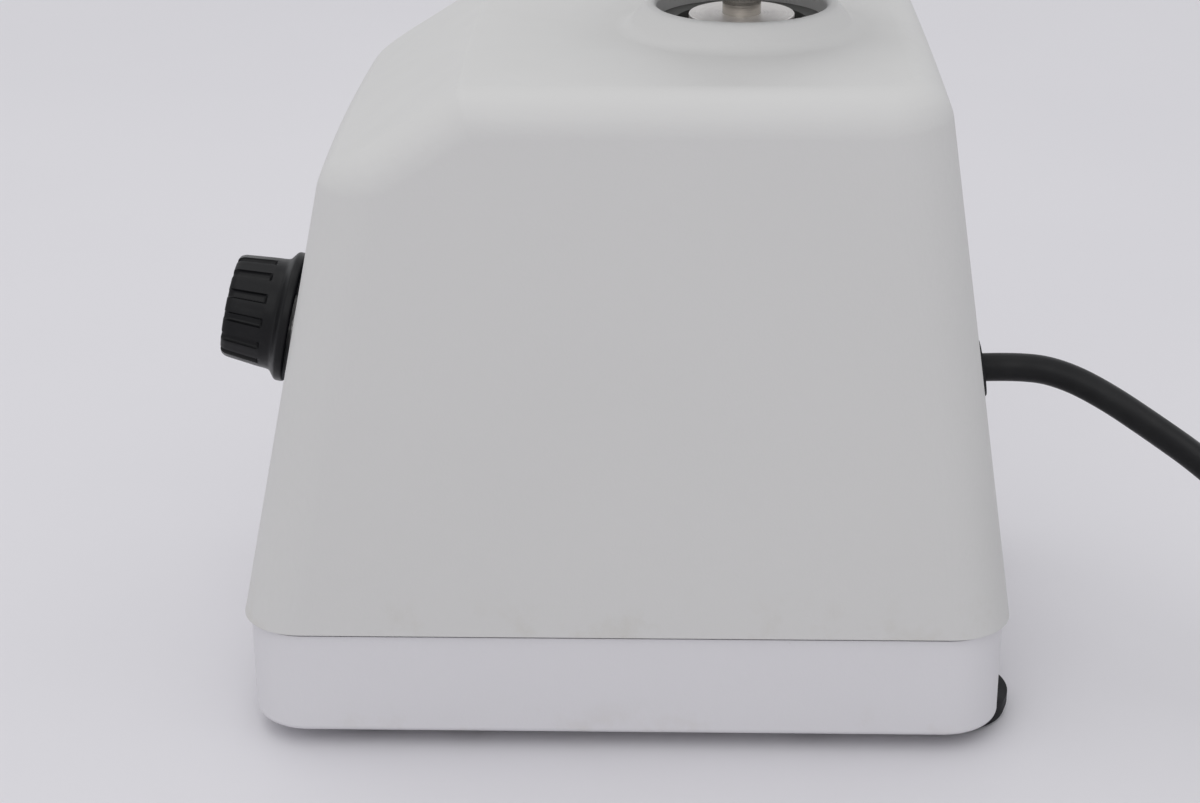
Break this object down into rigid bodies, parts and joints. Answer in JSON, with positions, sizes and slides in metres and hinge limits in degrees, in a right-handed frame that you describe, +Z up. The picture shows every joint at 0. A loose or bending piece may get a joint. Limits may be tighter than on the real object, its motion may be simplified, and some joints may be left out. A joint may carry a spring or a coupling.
{
  "type": "vortex mixer",
  "caption": "Bench vortex mixer: sloped housing on a cast base with an orbiting head and cup, a fluted speed knob, a rocker switch, rubber feet and a coiled mains lead.",
  "frame": {"origin": "middle of the footprint, on the surface that the feet rest on", "axes": "+Z up, the front panel faces -Y, +X is the right-hand side seen from the front"},
  "size_m": [0.1504, 0.3678, 0.1908],
  "materials": {
    "cover_paint": "satin light warm grey paint with a very fine texture",
    "base_paint": "satin off-white paint",
    "black_rubber": "matte black",
    "dark_rubber": "matte dark grey",
    "steel": "machined",
    "zinc_screw": "zinc plated",
    "cast_steel": "dark mill finish",
    "aluminium": "turned",
    "bronze": "sintered",
    "copper": "enamelled wire",
    "black_plastic": "satin black",
    "panel_plastic": "dark grey printed panel",
    "board_green": "solder mask",
    "cord_rubber": "matte black flexible jacket",
    "magnet": "ferrite"
  },
  "bodies": {
    "housing": {"cover": "cover_paint", "base_pan": "base_paint", "seam_gasket": "black_rubber", "foot_front_left": "black_rubber", "foot_front_right": "black_rubber", "foot_rear_left": "black_rubber", "foot_rear_right": "black_rubber", "foot_screws": "zinc_screw", "cover_screws": "zinc_screw", "ballast_plate": "cast_steel", "ballast_screws": "zinc_screw", "motor_grommets": "black_rubber", "motor_plate": "steel", "motor_plate_screws": "zinc_screw", "motor_end_bell_lower": "aluminium", "motor_end_bell_upper": "aluminium", "motor_can": "aluminium", "motor_tie_bolts": "zinc_screw", "bushing_lower": "bronze", "bushing_upper": "bronze", "motor_magnets": "magnet", "brush_holders": "black_plastic", "carbon_brushes": "bronze", "brush_springs": "steel", "splash_ring": "dark_rubber", "thrust_guide": "black_plastic", "touch_spring": "steel", "microswitch_bracket": "steel", "microswitch_body": "black_plastic", "dial_plate": "panel_plastic", "potentiometer_body": "black_plastic", "potentiometer_nut": "steel", "rocker_housing": "black_plastic", "control_board": "board_green", "board_parts": "black_plastic", "strain_relief": "black_rubber", "power_cord": "cord_rubber", "cord_coil": "cord_rubber", "plug_body": "black_plastic", "plug_blades": "steel"},
    "touch_carrier": {"touch_plunger": "black_plastic"},
    "rotor": {"rotor_shaft": "steel", "armature_core": "cast_steel", "armature_windings": "copper", "commutator": "copper", "eccentric_hub": "aluminium", "hub_set_screw": "zinc_screw", "counterweight": "cast_steel", "counterweight_screws": "zinc_screw", "bearing_outer_ring": "steel", "bearing_balls": "steel"},
    "head": {"bearing_inner_ring": "steel", "head_spindle": "steel", "head_disc": "steel"},
    "cup": {"cup_core": "black_plastic", "cup_rubber": "black_rubber"},
    "speed_control": {"speed_knob": "black_plastic", "potentiometer_shaft": "steel"},
    "mode_rocker": {"rocker_paddle": "black_plastic"},
    "switch_lever": {"microswitch_lever": "steel"}
  },
  "joints": [
    {"name": "touch_press", "type": "slide", "parent": "housing", "child": "touch_carrier", "axis": [0, 0, 1], "range_m": [-0.0012, 0], "stiffness_N_per_m": 1500, "springref_m": 0.012, "deforming": ["touch_spring"]},
    {"name": "rotor_spin", "type": "hinge", "parent": "touch_carrier", "child": "rotor", "pos_m": [0, 0.028, 0.09], "axis": [0, 0, 1], "continuous": true},
    {"name": "head_orbit", "type": "hinge", "parent": "rotor", "child": "head", "pos_m": [0.00245, 0.028, 0.1445], "axis": [0, 0, 1], "continuous": true},
    {"name": "cup_lift_off", "type": "slide", "parent": "head", "child": "cup", "axis": [0, 0, 1], "range_m": [0, 0.02]},
    {"name": "speed_knob_turn", "type": "hinge", "parent": "housing", "child": "speed_control", "pos_m": [0.022, -0.08054, 0.0927], "axis": [0, -0.9772, 0.2125], "range_deg": [-150, 150]},
    {"name": "rocker_tilt", "type": "hinge", "parent": "housing", "child": "mode_rocker", "pos_m": [-0.02, -0.07136, 0.0907], "axis": [1, 0, 0], "range_deg": [-10, 10]},
    {"name": "switch_lever_swing", "type": "hinge", "parent": "housing", "child": "switch_lever", "pos_m": [0.0289, 0.028, 0.0306], "axis": [0, 1, 0], "range_deg": [-4, 0]}
  ],
  "couplings": [
    {"joint": "head_orbit", "follows": "rotor_spin", "ratio": -1},
    {"joint": "switch_lever_swing", "follows": "touch_press", "rad_per_m": 50.25}
  ]
}
